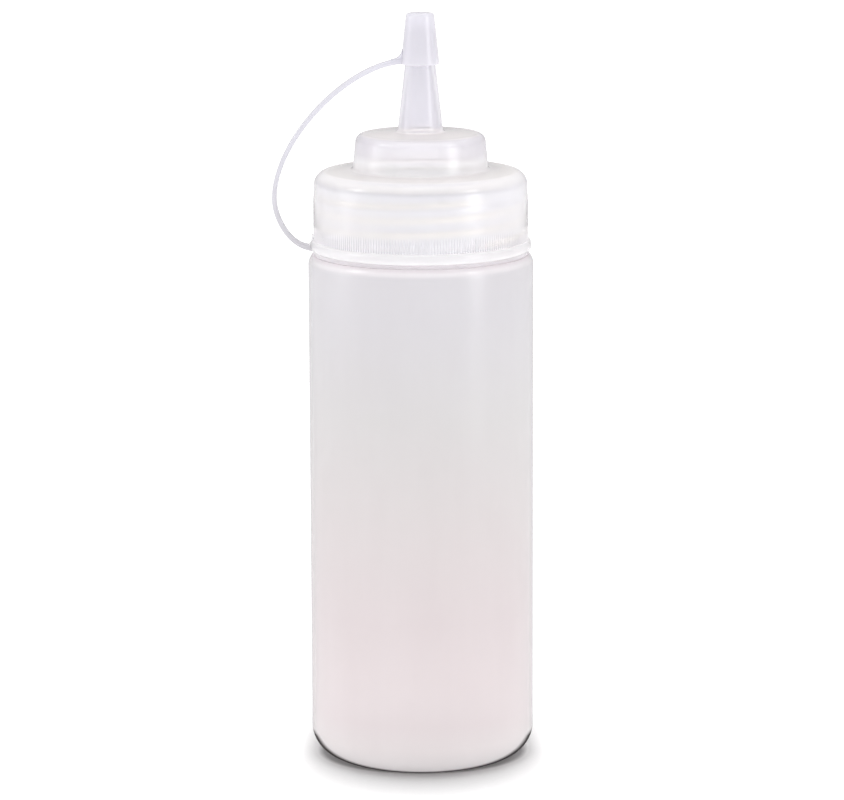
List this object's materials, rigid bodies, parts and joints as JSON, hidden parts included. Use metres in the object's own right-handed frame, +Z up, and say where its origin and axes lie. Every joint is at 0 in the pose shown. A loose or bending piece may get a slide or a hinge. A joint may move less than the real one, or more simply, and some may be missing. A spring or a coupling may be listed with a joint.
{
  "type": "squeeze bottle",
  "caption": "Translucent round squeeze bottle with a ribbed screw lid, a cone nozzle and a tip cap held by a looped strap.",
  "frame": {"origin": "on the bottle's axis, at the middle of the base and level with the plane the bottle stands on, 0.8 mm below the raised base panel", "axes": "+Z runs up the bottle's axis towards the nozzle; the strap leaves the lid towards -X; +Y points away from a viewer who sees the strap on the left"},
  "size_m": [0.0686, 0.0592, 0.1985],
  "materials": {
    "bottle": "translucent blow-moulded polyethylene, satin",
    "lid": "translucent moulded polyethylene, satin",
    "tether": "translucent soft moulded polyethylene, smooth",
    "washer": "white foamed polyethylene, matt"
  },
  "bodies": {
    "bottle": {"bottle": "bottle"},
    "seal_washer": {"seal_washer": "washer"},
    "lid": {"lid": "lid"},
    "tether_ring": {"tether_ring": "tether"},
    "strap_link_1": {"strap_link_1": "tether"},
    "strap_link_2": {"strap_link_2": "tether"},
    "strap_link_3": {"strap_link_3": "tether"},
    "strap_link_4": {"strap_link_4": "tether"},
    "strap_link_5": {"strap_link_5": "tether"},
    "strap_link_6": {"strap_link_6": "tether"},
    "tip_cap": {"tip_cap": "tether"}
  },
  "joints": [
    {"name": "lid_rise", "type": "slide", "parent": "bottle", "child": "seal_washer", "axis": [0, 0, 1], "range_m": [0, 0.0115]},
    {"name": "lid_turn", "type": "hinge", "parent": "seal_washer", "child": "lid", "pos_m": [0, 0, 0.146], "axis": [0, 0, 1], "range_deg": [0, 1080]},
    {"name": "ring_swivel", "type": "hinge", "parent": "lid", "child": "tether_ring", "pos_m": [0, 0, 0.1375], "axis": [0, 0, 1], "continuous": true},
    {"name": "cap_pull", "type": "hinge", "parent": "tether_ring", "child": "strap_link_1", "pos_m": [-0.03056, 0, 0.13714], "axis": [0, 1, 0], "range_deg": [0, 21.2]},
    {"name": "strap_bend_1", "type": "hinge", "parent": "strap_link_1", "child": "strap_link_2", "pos_m": [-0.03758, 0, 0.14528], "axis": [0, -1, 0], "range_deg": [-5.7, 0]},
    {"name": "strap_bend_2", "type": "hinge", "parent": "strap_link_2", "child": "strap_link_3", "pos_m": [-0.03736, 0, 0.15618], "axis": [0, -1, 0], "range_deg": [0, 12.5]},
    {"name": "strap_bend_3", "type": "hinge", "parent": "strap_link_3", "child": "strap_link_4", "pos_m": [-0.03255, 0, 0.16615], "axis": [0, -1, 0], "range_deg": [0, 27]},
    {"name": "strap_bend_4", "type": "hinge", "parent": "strap_link_4", "child": "strap_link_5", "pos_m": [-0.02547, 0, 0.17468], "axis": [0, -1, 0], "range_deg": [0, 27]},
    {"name": "strap_bend_5", "type": "hinge", "parent": "strap_link_5", "child": "strap_link_6", "pos_m": [-0.01675, 0, 0.18152], "axis": [0, -1, 0], "range_deg": [0, 11.6]},
    {"name": "cap_tilt", "type": "hinge", "parent": "strap_link_6", "child": "tip_cap", "pos_m": [-0.00649, 0, 0.1856], "axis": [0, -1, 0], "range_deg": [-12, 0]}
  ],
  "couplings": [
    {"joint": "lid_rise", "follows": "lid_turn", "m_per_rad": 0.00060479},
    {"joint": "strap_bend_1", "follows": "cap_pull", "ratio": -0.264},
    {"joint": "strap_bend_2", "follows": "cap_pull", "ratio": 0.585},
    {"joint": "strap_bend_3", "follows": "cap_pull", "ratio": 1.269},
    {"joint": "strap_bend_4", "follows": "cap_pull", "ratio": 1.269},
    {"joint": "strap_bend_5", "follows": "cap_pull", "ratio": 0.542},
    {"joint": "cap_tilt", "follows": "cap_pull", "ratio": -0.561}
  ]
}
